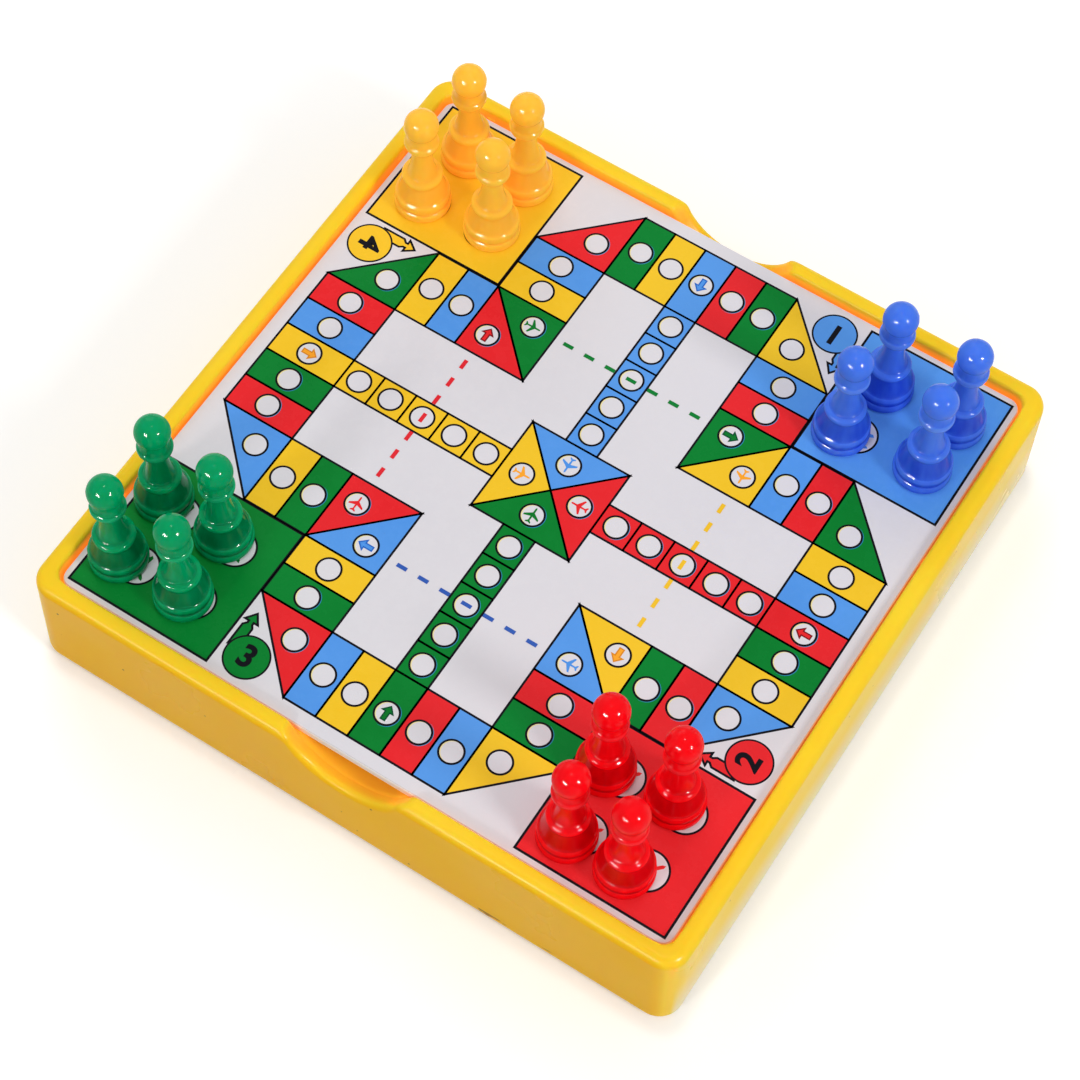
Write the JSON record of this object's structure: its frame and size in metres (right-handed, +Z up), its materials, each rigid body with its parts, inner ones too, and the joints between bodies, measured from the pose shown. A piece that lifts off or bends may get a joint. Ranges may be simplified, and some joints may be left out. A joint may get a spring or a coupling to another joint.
{
  "type": "boxed ludo board game",
  "caption": "Square yellow plastic tray with a lift-out printed ludo board as its lid, finger notches in two walls, pawns standing in the home squares and a die stored under the board.",
  "frame": {"origin": "centre of the tray's underside, on the table", "axes": "+Z up; +X from the green home square to the red one; +Y from the green home square to the yellow one; the finger notches are in the -Y and +Y walls"},
  "size_m": [0.1274, 0.1274, 0.0478],
  "materials": {
    "tray_yellow": "satin",
    "board_white": "satin",
    "print": "printed, satin",
    "die_white": "gloss",
    "pawn_green": "gloss, translucent",
    "pawn_red": "gloss, translucent",
    "pawn_blue": "gloss, translucent",
    "pawn_yellow": "gloss, milky"
  },
  "bodies": {
    "tray_body": {"tray": "tray_yellow"},
    "board_body": {"board_plate": "board_white", "printed_sheet": "print"},
    "die_body": {"die": "die_white"},
    "pawn_green_1_body": {"pawn_green_1": "pawn_green"},
    "pawn_green_2_body": {"pawn_green_2": "pawn_green"},
    "pawn_green_3_body": {"pawn_green_3": "pawn_green"},
    "pawn_green_4_body": {"pawn_green_4": "pawn_green"},
    "pawn_red_1_body": {"pawn_red_1": "pawn_red"},
    "pawn_red_2_body": {"pawn_red_2": "pawn_red"},
    "pawn_red_3_body": {"pawn_red_3": "pawn_red"},
    "pawn_red_4_body": {"pawn_red_4": "pawn_red"},
    "pawn_blue_1_body": {"pawn_blue_1": "pawn_blue"},
    "pawn_blue_2_body": {"pawn_blue_2": "pawn_blue"},
    "pawn_blue_3_body": {"pawn_blue_3": "pawn_blue"},
    "pawn_blue_4_body": {"pawn_blue_4": "pawn_blue"},
    "pawn_yellow_1_body": {"pawn_yellow_1": "pawn_yellow"},
    "pawn_yellow_2_body": {"pawn_yellow_2": "pawn_yellow"},
    "pawn_yellow_3_body": {"pawn_yellow_3": "pawn_yellow"},
    "pawn_yellow_4_body": {"pawn_yellow_4": "pawn_yellow"}
  },
  "joints": [
    {"name": "board_lift", "type": "slide", "parent": "tray_body", "child": "board_body", "axis": [0, 0, 1], "range_m": [0, 0.04]},
    {"name": "die_lift", "type": "slide", "parent": "tray_body", "child": "die_body", "axis": [0, 0, 1], "range_m": [0, 0.008]},
    {"name": "pawn_green_1_lift", "type": "slide", "parent": "board_body", "child": "pawn_green_1_body", "axis": [0, 0, 1], "range_m": [0, 0.03]},
    {"name": "pawn_green_2_lift", "type": "slide", "parent": "board_body", "child": "pawn_green_2_body", "axis": [0, 0, 1], "range_m": [0, 0.03]},
    {"name": "pawn_green_3_lift", "type": "slide", "parent": "board_body", "child": "pawn_green_3_body", "axis": [0, 0, 1], "range_m": [0, 0.03]},
    {"name": "pawn_green_4_lift", "type": "slide", "parent": "board_body", "child": "pawn_green_4_body", "axis": [0, 0, 1], "range_m": [0, 0.03]},
    {"name": "pawn_red_1_lift", "type": "slide", "parent": "board_body", "child": "pawn_red_1_body", "axis": [0, 0, 1], "range_m": [0, 0.03]},
    {"name": "pawn_red_2_lift", "type": "slide", "parent": "board_body", "child": "pawn_red_2_body", "axis": [0, 0, 1], "range_m": [0, 0.03]},
    {"name": "pawn_red_3_lift", "type": "slide", "parent": "board_body", "child": "pawn_red_3_body", "axis": [0, 0, 1], "range_m": [0, 0.03]},
    {"name": "pawn_red_4_lift", "type": "slide", "parent": "board_body", "child": "pawn_red_4_body", "axis": [0, 0, 1], "range_m": [0, 0.03]},
    {"name": "pawn_blue_1_lift", "type": "slide", "parent": "board_body", "child": "pawn_blue_1_body", "axis": [0, 0, 1], "range_m": [0, 0.03]},
    {"name": "pawn_blue_2_lift", "type": "slide", "parent": "board_body", "child": "pawn_blue_2_body", "axis": [0, 0, 1], "range_m": [0, 0.03]},
    {"name": "pawn_blue_3_lift", "type": "slide", "parent": "board_body", "child": "pawn_blue_3_body", "axis": [0, 0, 1], "range_m": [0, 0.03]},
    {"name": "pawn_blue_4_lift", "type": "slide", "parent": "board_body", "child": "pawn_blue_4_body", "axis": [0, 0, 1], "range_m": [0, 0.03]},
    {"name": "pawn_yellow_1_lift", "type": "slide", "parent": "board_body", "child": "pawn_yellow_1_body", "axis": [0, 0, 1], "range_m": [0, 0.03]},
    {"name": "pawn_yellow_2_lift", "type": "slide", "parent": "board_body", "child": "pawn_yellow_2_body", "axis": [0, 0, 1], "range_m": [0, 0.03]},
    {"name": "pawn_yellow_3_lift", "type": "slide", "parent": "board_body", "child": "pawn_yellow_3_body", "axis": [0, 0, 1], "range_m": [0, 0.03]},
    {"name": "pawn_yellow_4_lift", "type": "slide", "parent": "board_body", "child": "pawn_yellow_4_body", "axis": [0, 0, 1], "range_m": [0, 0.03]}
  ]
}
